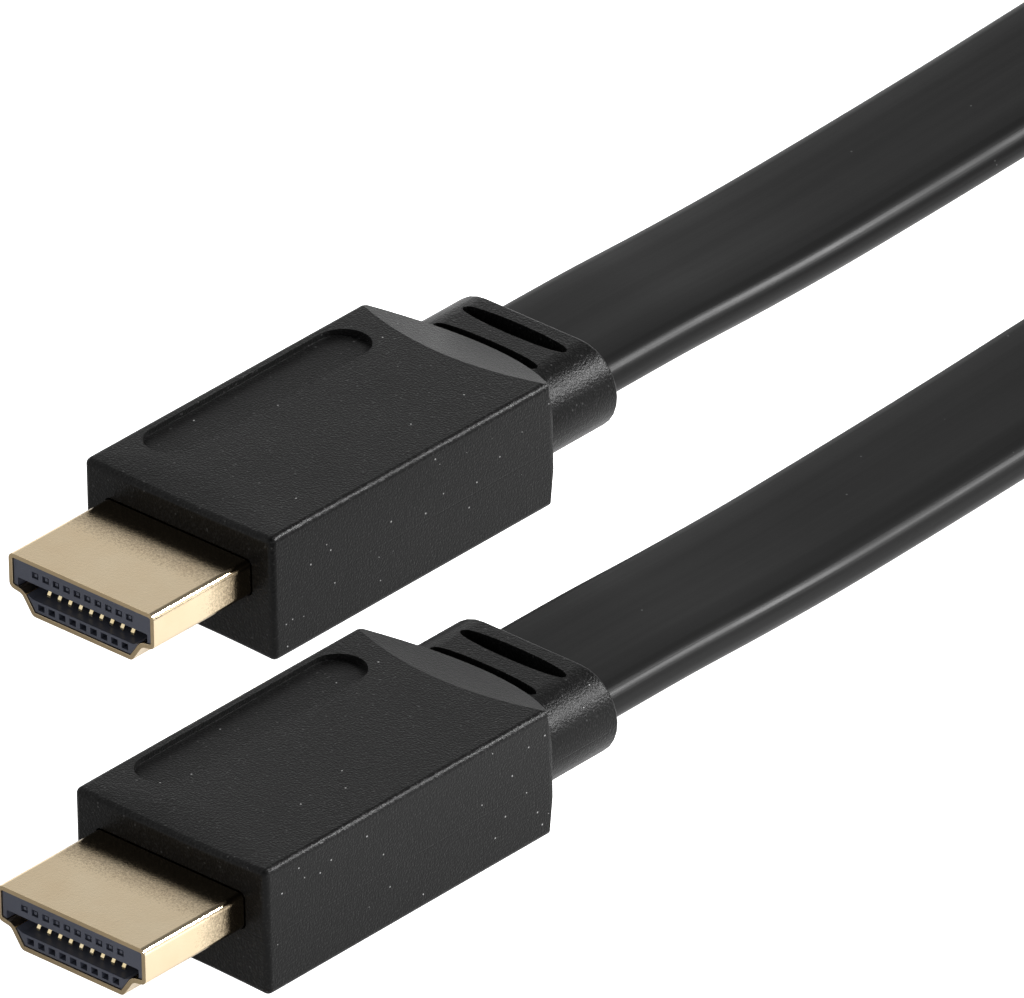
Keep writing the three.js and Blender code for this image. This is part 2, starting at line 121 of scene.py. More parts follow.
# Coil: two arms of one spiral, joined by an S across the middle
COIL_CENTRE = (0.0575, 0.172)
COIL_LEVEL = 0.0066  # height of the cord's middle line
TURN_GAP = 0.005  # from one turn's middle line to the next
INNER_RADIUS = 0.052
LEFT_ARM_TURNS = 1.5
RIGHT_ARM_TURNS = 1.0
POINTS_PER_TURN = 72
TIE_ANGLE = math.pi / 2  # the strap's place round the coil, on its far side
TIE_LIFT = 0.001  # the turns rise this far where the strap passes under them
TIE_REACH = 0.16  # how far along the coil they rise, in radians


def smooth_step(value, low, high):
    """Rises smoothly from 0 at the low value to 1 at the high one."""
    part = min(max((value - low) / (high - low), 0.0), 1.0)
    return part * part * (3 - 2 * part)


# Camera


def add_camera():
    azimuth = math.radians(CAMERA_AZIMUTH)
    elevation = math.radians(CAMERA_ELEVATION)
    roll = math.radians(CAMERA_ROLL)
    level = math.cos(elevation)
    ahead = Vector((-math.sin(azimuth) * level, math.cos(azimuth) * level, -math.sin(elevation)))
    flat_right = Vector((math.cos(azimuth), math.sin(azimuth), 0))
    flat_up = flat_right.cross(ahead)
    right = flat_right * math.cos(roll) + flat_up * math.sin(roll)
    up = flat_up * math.cos(roll) - flat_right * math.sin(roll)
    data = bpy.data.cameras.new("camera")
    data.sensor_width = SENSOR_WIDTH_MM
    data.lens = FOCAL_LENGTH_PX / PHOTO_WIDTH_PX * SENSOR_WIDTH_MM
    data.clip_end = CAMERA_SIGHT
    camera = bpy.data.objects.new("camera", data)
    place = Vector(CAMERA_AIM) - ahead * CAMERA_DISTANCE
    axes = Matrix((right, up, -ahead)).transposed()
    camera.matrix_world = Matrix.Translation(place) @ axes.to_4x4()
    bpy.context.scene.collection.objects.link(camera)
    bpy.context.scene.camera = camera


# Cord


def curve_through(points):
    """Points of a smooth curve through the given ones."""
    before_first = 2 * points[0] - points[1]
    after_last = 2 * points[-1] - points[-2]
    row = [before_first] + points + [after_last]
    line = []
    for before, start, end, after in zip(row, row[1:], row[2:], row[3:]):
        for k in range(CURVE_STEPS):
            t = k / CURVE_STEPS
            slope = (end - before) * t
            bend = (2 * before - 5 * start + 4 * end - after) * t**2
            change = (3 * start - before - 3 * end + after) * t**3
            line.append(0.5 * (2 * start + slope + bend + change))
    line.append(points[-1])
    return line


def coil_point(radius, angle):
    """A point of a turn, lifted where the strap passes under it."""
    off_tie = math.remainder(angle - TIE_ANGLE, 2 * math.pi)
    lift = TIE_LIFT * math.exp(-((off_tie / TIE_REACH) ** 2))
    x = COIL_CENTRE[0] + radius * math.cos(angle)
    y = COIL_CENTRE[1] + radius * math.sin(angle)
    return Vector((x, y, COIL_LEVEL + lift))


def coil_arm(turns):
    """One arm, from the coil's outside in, wound clockwise from its left side."""
    count = round(turns * POINTS_PER_TURN)
    line = []
    for k in range(count + 1):
        turned = k / POINTS_PER_TURN
        radius = INNER_RADIUS + 2 * TURN_GAP * (turns - turned)
        line.append(coil_point(radius, math.pi - 2 * math.pi * turned))
    return line


def coil_middle():
    """The S that joins the two arms across the coil's middle, as two half circles."""
    bend = INNER_RADIUS / 2
    count = POINTS_PER_TURN // 2
    line = []
    for k in range(1, count + 1):
        angle = -math.pi * k / count
        x = COIL_CENTRE[0] + bend + bend * math.cos(angle)
        y = COIL_CENTRE[1] + bend * math.sin(angle)
        line.append(Vector((x, y, COIL_LEVEL)))
    for k in range(1, count):
        angle = math.pi * k / count
        x = COIL_CENTRE[0] - bend + bend * math.cos(angle)
        y = COIL_CENTRE[1] + bend * math.sin(angle)
        line.append(Vector((x, y, COIL_LEVEL)))
    return line


def length_of(line):
    return sum((end - start).length for start, end in zip(line, line[1:]))


def evenly_spaced(line):
    """The same line with its points about CORD_STEP apart."""
    count = round(length_of(line) / CORD_STEP)
    step = length_of(line) / count
    spaced = [line[0]]
    walked = 0.0
    for start, end in zip(line, line[1:]):
        stretch = (end - start).length
        while len(spaced) < count and walked + stretch >= len(spaced) * step:
            spaced.append(start.lerp(end, (len(spaced) * step - walked) / stretch))
        walked += stretch
    spaced.append(line[-1])
    return spaced


def lead_line(route, turn_range, way):
    """One lead as (point, turn). It turns a quarter, from flat to on edge, along Y."""
    line = curve_through([Vector(point) for point in route])
    line[0] = line[0] - Vector((0, CORD_ROOT, 0))
    quarter = way * math.pi / 2
    return [(point, quarter * smooth_step(point.y, *turn_range)) for point in evenly_spaced(line)]


def cord_line():
    """The whole middle line as (point, turn about the line), from plug to plug.

    The section looks the same after half a turn. So the right lead's turn is counted from
    half a turn back, and runs on from the coil's.
    """
    left = lead_line(LEFT_ROUTE, LEFT_TURN, -1)
    right = [(point, turn - math.pi) for point, turn in lead_line(RIGHT_ROUTE, RIGHT_TURN, 1)]
    winding = coil_arm(LEFT_ARM_TURNS) + coil_middle() + coil_arm(RIGHT_ARM_TURNS)[::-1]
    coil = [(point, -math.pi / 2) for point in evenly_spaced(winding)]
    return left[:-1] + coil + right[:-1][::-1]


def cord_section():
    """The flat cord's section as (along its width, through its thickness)."""
    radius = CORD_THICKNESS / 2
    reach = CORD_WIDTH / 2 - radius
    right = []
    for k in range(EDGE_STEPS + 1):
        angle = -math.pi / 2 + math.pi * k / EDGE_STEPS
        right.append((reach + radius * math.cos(angle), radius * math.sin(angle)))
    top = [(reach * place, radius) for place in FLAT_PLACES]
    half = right + top
    return half + [(-across, -through) for across, through in half]


def cord_vertices(line_and_turns, section):
    """The section's corners at each point of the line, square to it and turned about it."""
    line = [point for point, turn in line_and_turns]
    last = len(line) - 1
    up = Vector((0, 0, 1))
    vertices = []
    for i, (middle, turn) in enumerate(line_and_turns):
        along = (line[min(i + 1, last)] - line[max(i - 1, 0)]).normalized()
        across = along.cross(up).normalized()
        above = across.cross(along)
        wide = across * math.cos(turn) + above * math.sin(turn)
        thin = along.cross(wide)
        for width, depth in section:
            vertices.append(middle + wide * width + thin * depth)
    return vertices


def cord_faces(count, around):
    """A band of faces from each section to the next, and one face across each end."""
    faces = []
    for i in range(count - 1):
        for j in range(around):
            corner = i * around + j
            beside = i * around + (j + 1) % around
            faces.append((corner, beside, beside + around, corner + around))
    faces.append(tuple(reversed(range(around))))
    faces.append(tuple(range((count - 1) * around, count * around)))
    return faces


def add_strip_map(mesh, count, around):
    """A UV map that runs along the cord in metres and once round it."""
    strip = mesh.uv_layers.new(name="UVMap")
    for face in mesh.polygons[: (count - 1) * around]:
        for corner, loop in enumerate(face.loop_indices):
            j = face.index % around + (1 if corner in (1, 2) else 0)
            i = face.index // around + (1 if corner in (2, 3) else 0)
            strip.data[loop].uv = (i * CORD_STEP, j / around)


def add_cord():
    line_and_turns = cord_line()
    line = [point for point, turn in line_and_turns]
    section = cord_section()
    count = len(line)
    around = len(section)
    mesh = bpy.data.meshes.new("cord")
    mesh.from_pydata(cord_vertices(line_and_turns, section), [], cord_faces(count, around))
    mesh.update()
    add_strip_map(mesh, count, around)
    mesh.shade_smooth()
    mesh.set_sharp_from_angle(angle=END_CREASE)
    cord = bpy.data.objects.new("flat_cord", mesh)
    bpy.context.scene.collection.objects.link(cord)
    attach(cord, "root")
    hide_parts("left_cord_lead", "right_cord_lead", "cord_coil")
    return cord


add_camera()
cord = add_cord()


# Node groups that several materials share

COARSE_SCALE = 0.37  # the coarse grain's scale as a share of the fine grain's
GRAIN_TOPS = (0.55, 0.75)  # heights of the fine grain where a top begins and is whole
PATCH_RANGE = (0.3, 0.7)  # the noise's usual lowest and highest values

# Places of a Mix node's sockets for colours
MIX_FACTOR = 0
MIX_FIRST = 6
MIX_SECOND = 7
MIX_RESULT = 2


def new_group(name, inputs, outputs):
    """An empty node group with those sockets, given as (name, kind, start value)."""
    group = bpy.data.node_groups.new(name, "ShaderNodeTree")
    for label, kind, start in inputs:
        socket = group.interface.new_socket(label, in_out="INPUT", socket_type=kind)
        socket.default_value = start
    for label, kind in outputs:
        group.interface.new_socket(label, in_out="OUTPUT", socket_type=kind)
    return group


def add_node(tree, kind, values=None, **settings):
    """A node with its settings, and its inputs set to a value or linked to a socket."""
    node = tree.nodes.new(kind)
    for label, value in settings.items():
        setattr(node, label, value)
    for label, value in (values or {}).items():
        if isinstance(value, bpy.types.NodeSocket):
            tree.links.new(value, node.inputs[label])
        else:
            node.inputs[label].default_value = value
    return node


def maths(tree, operation, first, second=0.0):
    return add_node(tree, "ShaderNodeMath", {0: first, 1: second}, operation=operation).outputs[0]


def mix_colours(tree, mask, first, second):
    """The first colour where the mask is 0 and the second where it is 1."""
    values = {MIX_FACTOR: mask, MIX_FIRST: first, MIX_SECOND: second}
    return add_node(tree, "ShaderNodeMix", values, data_type="RGBA").outputs[MIX_RESULT]


def remap(tree, value, low, high, to_low, to_high):
    """The value moved from one range to the other, and kept inside it."""
    values = {
        "Value": value,
        "From Min": low,
        "From Max": high,
        "To Min": to_low,
        "To Max": to_high,
    }
    return add_node(tree, "ShaderNodeMapRange", values, clamp=True).outputs[0]


def vary(tree, value, middle, reach):
    """The middle, and on top of it the reach times a value that changes over the surface."""
    return maths(tree, "ADD", maths(tree, "MULTIPLY", value, reach), middle)


def grain_group():
    """Fine moulded grain: a height, and a mask of the grain's tops."""
    inputs = [
        ("Vector", "NodeSocketVector", (0, 0, 0)),
        ("Grain Size", "NodeSocketFloat", 0.0002),
        ("Coarse Share", "NodeSocketFloat", 0.3),
    ]
    outputs = [("Height", "NodeSocketFloat"), ("Tops", "NodeSocketFloat")]
    group = new_group("moulded_grain", inputs, outputs)
    start = group.nodes.new("NodeGroupInput")
    end = group.nodes.new("NodeGroupOutput")
    vector = start.outputs["Vector"]
    scale = maths(group, "DIVIDE", 1.0, start.outputs["Grain Size"])
    fine_values = {"Vector": vector, "Scale": scale, "Detail": 2.0, "Roughness": 0.6}
    fine = add_node(group, "ShaderNodeTexNoise", fine_values).outputs[0]
    coarse_scale = maths(group, "MULTIPLY", scale, COARSE_SCALE)
    coarse_values = {"Vector": vector, "Scale": coarse_scale, "Detail": 1.0}
    coarse = add_node(group, "ShaderNodeTexNoise", coarse_values).outputs[0]
    coarse_part = maths(group, "MULTIPLY", coarse, start.outputs["Coarse Share"])
    height = maths(group, "ADD", fine, coarse_part)
    group.links.new(height, end.inputs["Height"])
    group.links.new(remap(group, fine, *GRAIN_TOPS, 0.0, 1.0), end.inputs["Tops"])
    return group


def speck_group():
    """Sparse specks of dust, as a mask."""
    inputs = [
        ("Vector", "NodeSocketVector", (0, 0, 0)),
        ("Spacing", "NodeSocketFloat", 0.002),
        ("Speck Size", "NodeSocketFloat", 0.04),
        ("Share", "NodeSocketFloat", 0.3),
    ]
    group = new_group("dust_specks", inputs, [("Mask", "NodeSocketFloat")])
    start = group.nodes.new("NodeGroupInput")
    end = group.nodes.new("NodeGroupOutput")
    scale = maths(group, "DIVIDE", 1.0, start.outputs["Spacing"])
    values = {"Vector": start.outputs["Vector"], "Scale": scale}
    cells = add_node(group, "ShaderNodeTexVoronoi", values, feature="F1")
    near = maths(group, "LESS_THAN", cells.outputs["Distance"], start.outputs["Speck Size"])
    pick = add_node(group, "ShaderNodeSeparateColor", {"Color": cells.outputs["Color"]}).outputs[0]
    chosen = maths(group, "LESS_THAN", pick, start.outputs["Share"])
    group.links.new(maths(group, "MULTIPLY", near, chosen), end.inputs["Mask"])
    return group


def patch_group():
    """Soft uneven patches, from handling and moulding, as a value round zero."""
    inputs = [("Vector", "NodeSocketVector", (0, 0, 0)), ("Patch Size", "NodeSocketFloat", 0.01)]
    group = new_group("soft_patches", inputs, [("Value", "NodeSocketFloat")])
    start = group.nodes.new("NodeGroupInput")
    end = group.nodes.new("NodeGroupOutput")
    scale = maths(group, "DIVIDE", 1.0, start.outputs["Patch Size"])
    values = {"Vector": start.outputs["Vector"], "Scale": scale, "Detail": 3.0, "Roughness": 0.55}
    cloud = add_node(group, "ShaderNodeTexNoise", values).outputs[0]
    group.links.new(remap(group, cloud, *PATCH_RANGE, -1.0, 1.0), end.inputs["Value"])
    return group


GRAIN = grain_group()
SPECKS = speck_group()
PATCHES = patch_group()


def place_group(tree, group, vector, **values):
    """A shared group placed in a material, with that material's own values."""
    node = tree.nodes.new("ShaderNodeGroup")
    node.node_tree = group
    tree.links.new(vector, node.inputs["Vector"])
    for label, value in values.items():
        node.inputs[label.replace("_", " ").title()].default_value = value
    return node


# Materials


def new_material(name, sockets=None):
    """A material with its Principled BSDF, whose constants are set on the shader itself."""
    material = bpy.data.materials.new(name)
    material.use_nodes = True
    tree = material.node_tree
    shader = tree.nodes["Principled BSDF"]
    for label, value in (sockets or {}).items():
        shader.inputs[label].default_value = value
    place = tree.nodes.new("ShaderNodeTexCoord").outputs["Object"]
    return material, tree, shader, place


def grey(value):
    return (value, value, value, 1.0)


def add_bump(tree, shader, height, distance):
    bump = add_node(tree, "ShaderNodeBump", {"Height": height, "Distance": distance, "Strength": 1.0})
    tree.links.new(bump.outputs["Normal"], shader.inputs["Normal"])


# Black moulding
PARTING_HEIGHT = 4.6 * MM  # of the mould's parting line, up the overmould
PARTING_WIDTH = 0.08 * MM
PARTING_DEPTH = 0.35  # where it is deepest, as a share of the grain's height
MOULD_DARK = grey(0.003)
MOULD_TOP = grey(0.017)
# pale specks painted on the grain as glints of light
MOULD_PAINTED_GLINT = grey(0.035)
MOULD_DUST = grey(0.3)
MOULD_ROUGHNESS = 0.35
MOULD_ROUGHNESS_REACH = 0.04
MOULD_RELIEF = 0.000045


def parting_line(tree, place):
    """A mask of the thin line round an overmould where the halves of its mould met."""
    height = add_node(tree, "ShaderNodeSeparateXYZ", {"Vector": place}).outputs["Z"]
    off_line = maths(tree, "ABSOLUTE", maths(tree, "SUBTRACT", height, PARTING_HEIGHT))
    return remap(tree, off_line, 0.0, PARTING_WIDTH, 1.0, 0.0)


def mould_material():
    """Black moulding with a fine dull grain, painted glints, a parting line round it and a little dust.
    """
    material, tree, shader, place = new_material("black_moulding", {"Specular IOR Level": 0.13})
    grain = place_group(tree, GRAIN, place, grain_size=0.00017, coarse_share=0.2)
    patches = place_group(tree, PATCHES, place, patch_size=0.009).outputs["Value"]
    dust = place_group(tree, SPECKS, place, spacing=0.0009, speck_size=0.075, share=0.09)
    # painted glints: pale specks standing in for sparkles of light on the grain
    glint_specks = place_group(tree, SPECKS, place, spacing=0.0005, speck_size=0.16, share=0.2)
    black = mix_colours(tree, grain.outputs["Tops"], MOULD_DARK, MOULD_TOP)
    glinted = mix_colours(tree, glint_specks.outputs["Mask"], black, MOULD_PAINTED_GLINT)
    dusty = mix_colours(tree, dust.outputs["Mask"], glinted, MOULD_DUST)
    rough = vary(tree, patches, MOULD_ROUGHNESS, MOULD_ROUGHNESS_REACH)
    worn = remap(tree, patches, -0.4, 0.8, 0.0, PARTING_DEPTH)
    line = maths(tree, "MULTIPLY", parting_line(tree, place), worn)
    tree.links.new(dusty, shader.inputs["Base Color"])
    tree.links.new(rough, shader.inputs["Roughness"])
    add_bump(tree, shader, maths(tree, "SUBTRACT", grain.outputs["Height"], line), MOULD_RELIEF)
    return material


# Cord jacket
JACKET_DARK = grey(0.002)
# paler streaks along the cord are a painted sheen
JACKET_PAINTED_SHEEN = grey(0.012)
JACKET_DUST = grey(0.09)
JACKET_STREAKS = (14.0, 26.0, 1.0)  # in a metre of the cord, and once round it
JACKET_GRAIN_SHARE = 0.12  # of its relief
JACKET_ROUGHNESS = 0.4
JACKET_ROUGHNESS_REACH = 0.05
JACKET_RELIEF = 0.00003


def jacket_material():
    """The cord's smooth jacket, drawn out along its length, with its paler streaks painted as a faint
    sheen along it.
    """
    material, tree, shader, place = new_material("cord_jacket", {"Specular IOR Level": 0.12})
    strip = tree.nodes.new("ShaderNodeTexCoord").outputs["UV"]
    drawn_out = add_node(tree, "ShaderNodeMapping", {"Vector": strip, "Scale": JACKET_STREAKS})
    streak_values = {"Vector": drawn_out.outputs[0], "Scale": 1.0, "Detail": 3.0}
    streaks_and_sheen = add_node(tree, "ShaderNodeTexNoise", streak_values).outputs[0]
    patches = place_group(tree, PATCHES, place, patch_size=0.012).outputs["Value"]
    grain = place_group(tree, GRAIN, place, grain_size=0.00009, coarse_share=0.2)
    dust = place_group(tree, SPECKS, place, spacing=0.0013, speck_size=0.05, share=0.12)
    # the paler streaks are painted sheen; the same streaks are also a real bump below
    black = mix_colours(tree, streaks_and_sheen, JACKET_DARK, JACKET_PAINTED_SHEEN)
    dusty = mix_colours(tree, dust.outputs["Mask"], black, JACKET_DUST)
    rough = vary(tree, patches, JACKET_ROUGHNESS, JACKET_ROUGHNESS_REACH)
    fine = maths(tree, "MULTIPLY", grain.outputs["Height"], JACKET_GRAIN_SHARE)
    tree.links.new(dusty, shader.inputs["Base Color"])
    tree.links.new(rough, shader.inputs["Roughness"])
    add_bump(tree, shader, maths(tree, "ADD", streaks_and_sheen, fine), JACKET_RELIEF)
    return material


# Gold shell
# Painted shade: each shell is painted dark brown where it enters its overmould, standing in for the
# overmould's shadow and dark reflection on it.
LEFT_ROOT = 3.3 * MM  # where the left shell enters its overmould, along Y
ROOT_STAGGER = 33.8 * MM  # the right one does so this far ahead
ROOT_SHADE_CORE = 1.7 * MM  # length of the darkest painted shade at each shell's root
ROOT_SHADE_REACH = 4.9 * MM  # and of its fading edge
ROOT_SHADE_RAGGED = 4.0 * MM  # how far the grain carries that edge in and out
ROOT_SHADE_DEPTH = 0.85
GRAIN_MIDDLE = 0.65  # the shell grain's usual height
# colour of the painted shade near the overmould
SHELL_PAINTED_SHADE = (0.06, 0.04, 0.02, 1.0)
SHELL_DEEP = (0.88, 0.70, 0.46, 1.0)
SHELL_PALE = (0.93, 0.77, 0.53, 1.0)
SHELL_SPECK = (0.42, 0.30, 0.17, 1.0)
# Painted shade: faces turned towards the mouth, the sheet's cut rim, are painted dark brown; they are
# also made rougher.
SHELL_RIM_PAINTED_SHADE = (0.42, 0.32, 0.19, 1.0)
MOUTH_RIM_FACING = (-0.97, -0.9)  # how far towards the mouth a cut edge faces
CUT_EDGE_ROUGHER = 0.2
ROLLING_LINES = (9000.0, 700.0, 9000.0)  # in a metre across, along and up the shell
ROLLING_SHARE = 0.3  # of its relief
SHELL_ROUGHNESS = 0.1
SHELL_ROUGHNESS_REACH = 0.03
SHELL_RELIEF = 0.000006


def root_shade(tree, place, grain):
    """A mask of painted shade, ragged with grain, where each shell leaves its overmould: it stands in
    for the overmould's shadow and dark reflection.
    """
    along = add_node(tree, "ShaderNodeSeparateXYZ", {"Vector": place}).outputs["Y"]
    ahead = maths(tree, "FLOORED_MODULO", maths(tree, "SUBTRACT", LEFT_ROOT, along), ROOT_STAGGER)
    ragged = maths(tree, "MULTIPLY", maths(tree, "SUBTRACT", grain, GRAIN_MIDDLE), ROOT_SHADE_RAGGED)
    return remap(tree, maths(tree, "ADD", ahead, ragged), ROOT_SHADE_CORE, ROOT_SHADE_REACH, ROOT_SHADE_DEPTH, 0.0)


def shell_material():
    """Pale gold plating over rolled sheet. Its cut rim facing the mouth is rougher and painted dark as
    shade, and each shell is painted dark near its overmould as shade and reflection.
    """
    material, tree, shader, place = new_material("gold_shell", {"Metallic": 1.0})
    rolled = add_node(tree, "ShaderNodeMapping", {"Vector": place, "Scale": ROLLING_LINES})
    line_values = {"Vector": rolled.outputs[0], "Scale": 1.0, "Detail": 2.0}
    lines = add_node(tree, "ShaderNodeTexNoise", line_values).outputs[0]
    grain = place_group(tree, GRAIN, place, grain_size=0.0001, coarse_share=0.4)
    patches = place_group(tree, PATCHES, place, patch_size=0.005)
    specks = place_group(tree, SPECKS, place, spacing=0.0016, speck_size=0.04, share=0.12)
    cloud = remap(tree, patches.outputs["Value"], -1.0, 1.0, 0.0, 1.0)
    plating = mix_colours(tree, cloud, SHELL_DEEP, SHELL_PALE)
    marked = mix_colours(tree, specks.outputs["Mask"], plating, SHELL_SPECK)
    facing = tree.nodes.new("ShaderNodeTexCoord").outputs["Normal"]
    forward = add_node(tree, "ShaderNodeSeparateXYZ", {"Vector": facing}).outputs["Y"]
    # the rim facing the mouth: its colour is painted shade, its roughness is real
    mouth_rim = remap(tree, forward, *MOUTH_RIM_FACING, 1.0, 0.0)
    rim_shaded = mix_colours(tree, mouth_rim, marked, SHELL_RIM_PAINTED_SHADE)
    # painted shade and reflection next to the overmould
    painted_root_shade = root_shade(tree, place, grain.outputs["Height"])
    shaded = mix_colours(tree, painted_root_shade, rim_shaded, SHELL_PAINTED_SHADE)
    rough = vary(tree, cloud, SHELL_ROUGHNESS, SHELL_ROUGHNESS_REACH)
    duller = vary(tree, mouth_rim, rough, CUT_EDGE_ROUGHER)
    relief = vary(tree, lines, grain.outputs["Height"], ROLLING_SHARE)
    tree.links.new(shaded, shader.inputs["Base Color"])
    tree.links.new(duller, shader.inputs["Roughness"])
    add_bump(tree, shader, relief, SHELL_RELIEF)
    return material


# Gold contacts
CONTACT_DEEP = (0.96, 0.76, 0.42, 1.0)
CONTACT_PALE = (0.99, 0.86, 0.58, 1.0)
CONTACT_ROUGHNESS = 0.22
CONTACT_ROUGHNESS_REACH = 0.08


def contact_material():
    """Brighter gold on the contacts."""
    material, tree, shader, place = new_material("gold_contact", {"Metallic": 1.0})
    patches = place_group(tree, PATCHES, place, patch_size=0.0008)
    cloud = remap(tree, patches.outputs["Value"], -1.0, 1.0, 0.0, 1.0)
    colour = mix_colours(tree, cloud, CONTACT_DEEP, CONTACT_PALE)
    rough = vary(tree, cloud, CONTACT_ROUGHNESS, CONTACT_ROUGHNESS_REACH)
    tree.links.new(colour, shader.inputs["Base Color"])
    tree.links.new(rough, shader.inputs["Roughness"])
    return material


# Contact holder
HOLDER_DARK = (0.055, 0.060, 0.082, 1.0)
HOLDER_TOP = (0.075, 0.081, 0.108, 1.0)
HOLDER_ROUGHNESS = 0.45
HOLDER_ROUGHNESS_REACH = 0.04
HOLDER_RELIEF = 0.000006


def holder_material():
    """Dark blue grey moulded plastic."""
    material, tree, shader, place = new_material("holder_plastic", {"Specular IOR Level": 0.35})
    grain = place_group(tree, GRAIN, place, grain_size=0.00008, coarse_share=0.4)
    patches = place_group(tree, PATCHES, place, patch_size=0.003).outputs["Value"]
    colour = mix_colours(tree, grain.outputs["Tops"], HOLDER_DARK, HOLDER_TOP)
    rough = vary(tree, patches, HOLDER_ROUGHNESS, HOLDER_ROUGHNESS_REACH)
    tree.links.new(colour, shader.inputs["Base Color"])
    tree.links.new(rough, shader.inputs["Roughness"])
    add_bump(tree, shader, grain.outputs["Height"], HOLDER_RELIEF)
    return material


# Woven strap
STRAP_DARK = grey(0.014)
STRAP_PALE = grey(0.06)
WEAVE_SCALE = 1000.0  # the weave's own sizes below are in millimetres
WEAVE = {"Brick Width": 0.9, "Row Height": 0.45, "Mortar Size": 0.12}
FURROW_DEPTH = 0.8
STRAP_RELIEF = 0.00015


def strap_material():
    """Black woven hook and loop strap, ribbed across and fuzzy."""
    material, tree, shader, place = new_material("woven_strap", {"Roughness": 0.9, "Sheen Weight": 0.25})
    spot = add_node(tree, "ShaderNodeSeparateXYZ", {"Vector": place})
    along = maths(tree, "ADD", spot.outputs["Y"], spot.outputs["Z"])  # the way that the strap runs
    strip = add_node(tree, "ShaderNodeCombineXYZ", {"X": along, "Y": spot.outputs["X"]}).outputs[0]
    weave_values = {"Vector": strip, "Scale": WEAVE_SCALE, **WEAVE}
    weave = add_node(tree, "ShaderNodeTexBrick", weave_values, offset=0.5)
    grain = place_group(tree, GRAIN, place, grain_size=0.00025, coarse_share=0.6)
    patches = place_group(tree, PATCHES, place, patch_size=0.004)
    thread = mix_colours(tree, grain.outputs["Tops"], STRAP_DARK, STRAP_PALE)
    worn = remap(tree, patches.outputs["Value"], 0.3, 1.0, 0.0, 0.35)
    furrows = maths(tree, "MULTIPLY", weave.outputs["Fac"], -FURROW_DEPTH)
    tree.links.new(mix_colours(tree, worn, thread, STRAP_PALE), shader.inputs["Base Color"])
    add_bump(tree, shader, maths(tree, "ADD", furrows, grain.outputs["Height"]), STRAP_RELIEF)
    return material


FINISHES = {
    "shell_gold": shell_material(),
    "contact_gold": contact_material(),
    "holder_plastic": holder_material(),
    "mould_black": mould_material(),
    "cord_jacket": jacket_material(),
    "tie_strap": strap_material(),
}


# Edges and shading of the solids

WELD_REACH = 0.000002  # corners nearer than this are one
FLAT_ANGLE = math.radians(0.5)  # faces that meet flatter than this are one
EDGE_ROUNDS = {"shell_gold": 0.05 * MM, "mould_black": 0.1 * MM}
ROUNDED_ANGLE = math.radians(38)  # edges sharper than this are rounded
ROUND_STEPS = 7  # faces round each of them
CREASE_ANGLE = math.radians(14.5)  # edges sharper than this stay crisp


def crease_nodes():
    """A mesh modifier that keeps every edge crisp where two faces meet at a clear angle."""
    group = bpy.data.node_groups.new("keep_creases", "GeometryNodeTree")
    group.interface.new_socket("Geometry", in_out="INPUT", socket_type="NodeSocketGeometry")
    group.interface.new_socket("Geometry", in_out="OUTPUT", socket_type="NodeSocketGeometry")
    start = group.nodes.new("NodeGroupInput")
    end = group.nodes.new("NodeGroupOutput")
    angle = group.nodes.new("GeometryNodeInputMeshEdgeAngle").outputs["Unsigned Angle"]
    sharp = add_node(group, "FunctionNodeCompare", {0: angle, 1: CREASE_ANGLE}, operation="GREATER_THAN")
    shade = add_node(group, "GeometryNodeSetShadeSmooth", {"Shade Smooth": False}, domain="EDGE")
    group.links.new(start.outputs["Geometry"], shade.inputs["Geometry"])
    group.links.new(sharp.outputs["Result"], shade.inputs["Selection"])
    group.links.new(shade.outputs["Geometry"], end.inputs["Geometry"])
    return group


CREASES = crease_nodes()


def shade_evenly(node, edge_round):
    """Joins the solid's facets, rounds its sharpest edges and shades its curves smoothly."""
    weld = node.modifiers.new("joined_facets", "WELD")
    weld.merge_threshold = WELD_REACH
    if edge_round:
        flat = node.modifiers.new("whole_faces", "DECIMATE")
        flat.decimate_type = "DISSOLVE"
        flat.angle_limit = FLAT_ANGLE
        bevel = node.modifiers.new("round_edges", "BEVEL")
        bevel.width = edge_round
        bevel.segments = ROUND_STEPS
        bevel.limit_method = "ANGLE"
        bevel.angle_limit = ROUNDED_ANGLE
        bevel.miter_outer = "MITER_ARC"
    creases = node.modifiers.new("creases", "NODES")
    creases.node_group = CREASES
    even = node.modifiers.new("even_shading", "WEIGHTED_NORMAL")
    even.keep_sharp = True


def finish_cad_nodes():
    """Gives each solid of the frame its finish and its even shading."""
    slots = {part["node"]: part["material_slot"] for part in frame["record"]["subparts"]}
    for name, node in frame["nodes"].items():
        slot = slots[name]
        node.data.materials.clear()
        node.data.materials.append(FINISHES[slot])
        node.data.shade_smooth()
        shade_evenly(node, EDGE_ROUNDS.get(slot, 0.0))


finish_cad_nodes()
cord.data.materials.append(FINISHES["cord_jacket"])


# Room and light

FLOOR_SIZE = 6.0
FLOOR_SHADE = 0.42
FRONT_GLOW = 0.0  # the floor's own light on the plugs' left front
REAR_GLOW = 1.2  # and on their right rear
GLOW_REACH = 0.06  # half the width of the band in which the one becomes the other
HORIZON_LIGHT = 1.5
MIDDLE_SKY_LIGHT = 0.58
HIGH_SKY_LIGHT = 0.16
HORIZON_FADE = (0.05, 0.5)  # heights between which the horizon's light fades to the middle sky's
HIGH_FADE = (0.52, 0.72)  # and the middle sky's to the high sky's
KEY_PLACE = (0.72, 0.92, 0.85)
KEY_SIZE = 0.3
KEY_POWER = 34.0
FILL_PLACE = (-0.9, -0.2, 0.9)
FILL_SIZE = 0.9
FILL_POWER = 2.0


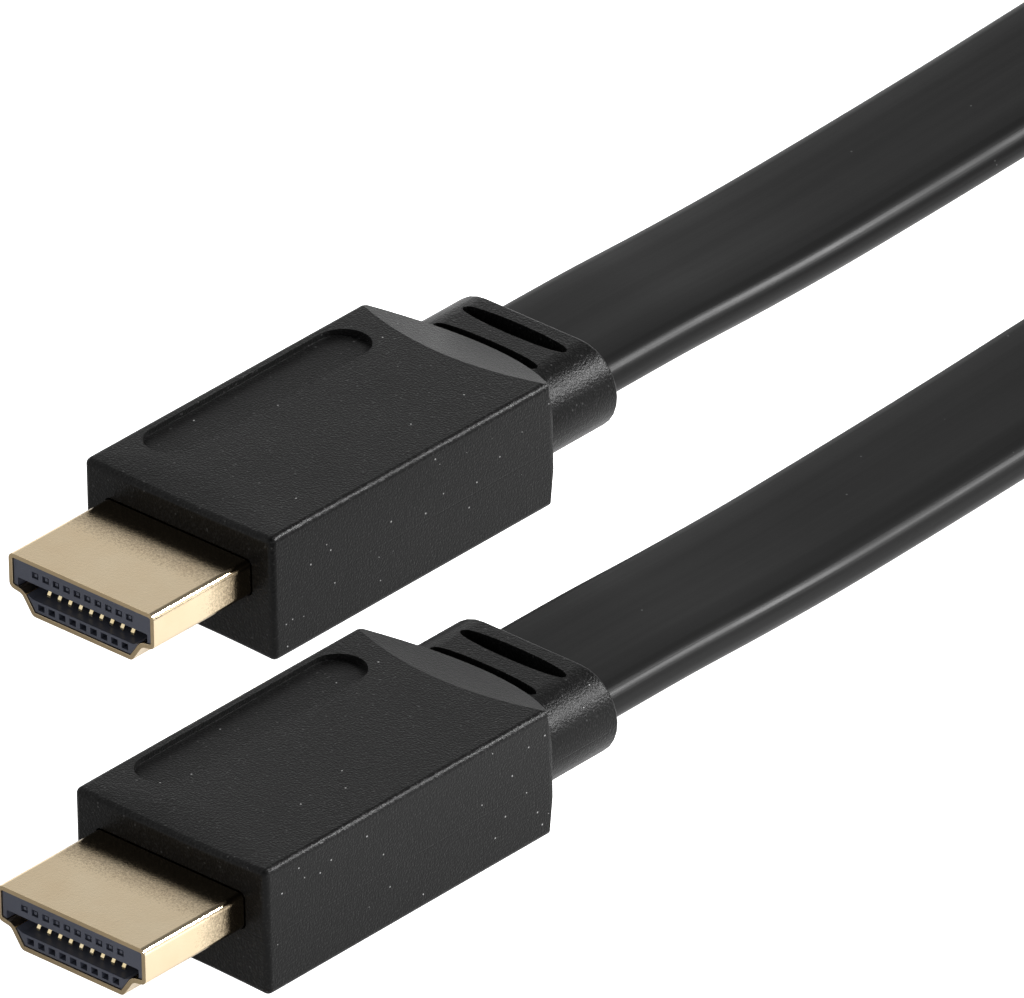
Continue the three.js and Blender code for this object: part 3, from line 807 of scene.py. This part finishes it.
def add_floor():
    """A pale floor, white to the camera, that lights the plugs from their right rear."""
    half = FLOOR_SIZE / 2
    mesh = bpy.data.meshes.new("floor")
    corners = [(-half, -half, 0), (half, -half, 0), (half, half, 0), (-half, half, 0)]
    mesh.from_pydata(corners, [], [(0, 1, 2, 3)])
    floor = bpy.data.objects.new("floor", mesh)
    bpy.context.scene.collection.objects.link(floor)
    values = {"Base Color": grey(FLOOR_SHADE), "Roughness": 0.9, "Emission Color": grey(1.0)}
    material, tree, shader, place = new_material("pale_floor", values)
    spot = add_node(tree, "ShaderNodeSeparateXYZ", {"Vector": place})
    rightward = maths(tree, "ADD", spot.outputs["X"], spot.outputs["Y"])
    glow = remap(tree, rightward, -GLOW_REACH, GLOW_REACH, FRONT_GLOW, REAR_GLOW)
    seen = tree.nodes.new("ShaderNodeLightPath").outputs["Is Camera Ray"]
    tree.links.new(maths(tree, "ADD", glow, seen), shader.inputs["Emission Strength"])
    mesh.materials.append(material)


def add_area_light(name, place, size, power):
    """A soft square light that points at the part."""
    data = bpy.data.lights.new(name, "AREA")
    data.size = size
    data.energy = power
    light = bpy.data.objects.new(name, data)
    light.location = place
    light.rotation_euler = Vector(place).to_track_quat("Z", "Y").to_euler()
    bpy.context.scene.collection.objects.link(light)


def add_sky():
    """A pale studio that is brightest at the level of the table and dimmer overhead."""
    world = bpy.data.worlds.new("studio")
    world.use_nodes = True
    tree = world.node_tree
    ahead = tree.nodes.new("ShaderNodeTexCoord").outputs["Generated"]
    height = add_node(tree, "ShaderNodeSeparateXYZ", {"Vector": ahead}).outputs["Z"]
    low = remap(tree, height, *HORIZON_FADE, HORIZON_LIGHT, MIDDLE_SKY_LIGHT)
    high = remap(tree, height, *HIGH_FADE, 0.0, MIDDLE_SKY_LIGHT - HIGH_SKY_LIGHT)
    sky = tree.nodes["Background"]
    sky.inputs["Color"].default_value = grey(1.0)
    tree.links.new(maths(tree, "SUBTRACT", low, high), sky.inputs["Strength"])
    bpy.context.scene.world = world


add_floor()
add_sky()
add_area_light("key_light", KEY_PLACE, KEY_SIZE, KEY_POWER)
add_area_light("fill_light", FILL_PLACE, FILL_SIZE, FILL_POWER)
bpy.context.scene.view_settings.view_transform = "Standard"
